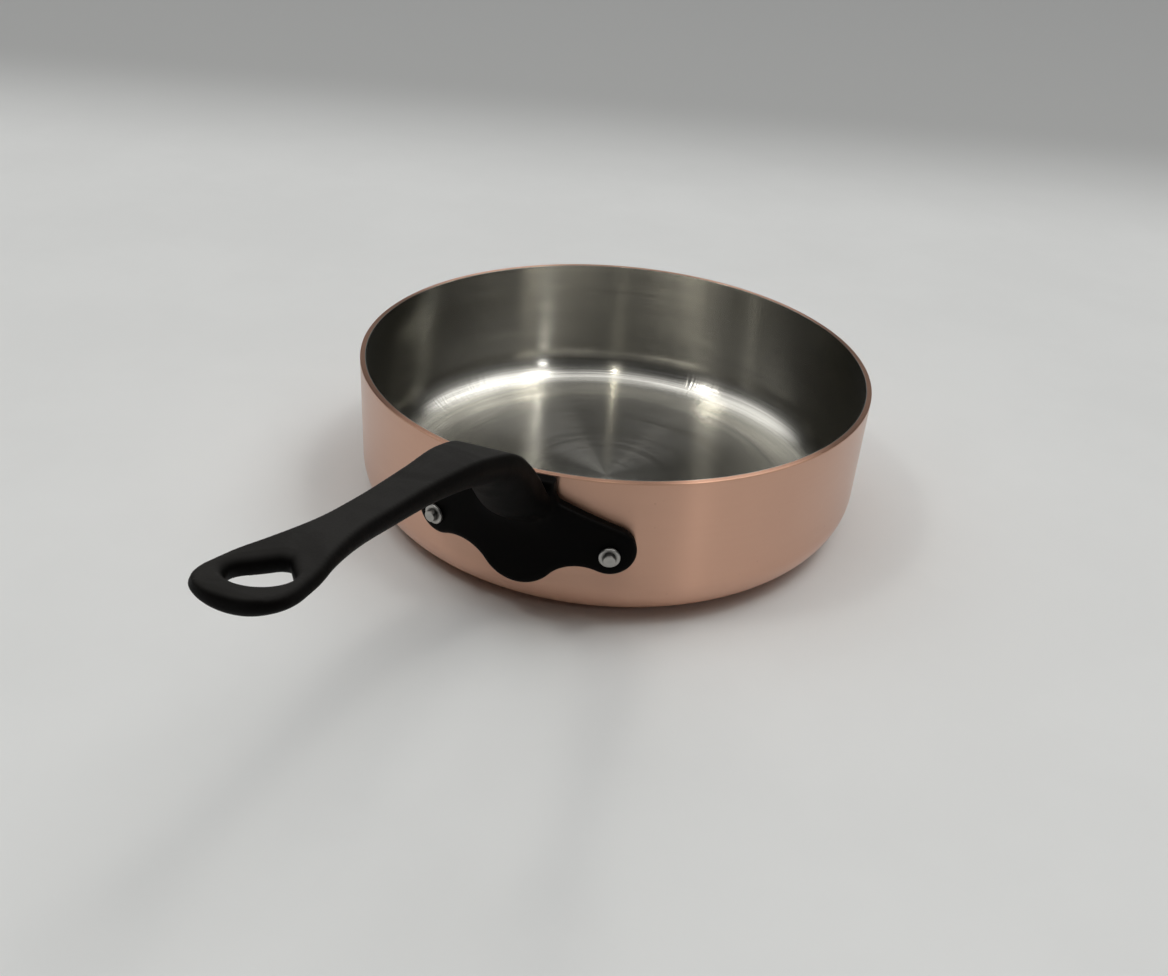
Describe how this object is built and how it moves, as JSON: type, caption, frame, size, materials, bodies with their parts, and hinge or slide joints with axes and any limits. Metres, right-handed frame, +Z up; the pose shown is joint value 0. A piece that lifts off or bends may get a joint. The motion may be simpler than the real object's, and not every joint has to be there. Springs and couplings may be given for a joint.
{
  "type": "saute pan",
  "caption": "Round straight-sided copper saute pan with a brushed steel lining and one long arched cast-iron handle, riveted on and ending in a hanging hole.",
  "frame": {"origin": "middle of the flat base, on the surface that the pan stands on", "axes": "+Z up; the handle points along -Y; the mirror plane is X = 0"},
  "size_m": [0.24, 0.4292, 0.1381],
  "materials": {
    "copper": "satin-brushed copper, fine vertical and circular polish lines",
    "lining_steel": "stainless, brushed in circles round the wall and floor",
    "cast_iron": "black satin casting, fine grain, ground smooth on the grip",
    "rivet_steel": "satin stainless, turned"
  },
  "bodies": {
    "root": {"copper_shell": "copper", "steel_lining": "lining_steel", "handle": "cast_iron", "rivet_left": "rivet_steel", "rivet_right": "rivet_steel"}
  },
  "joints": []
}
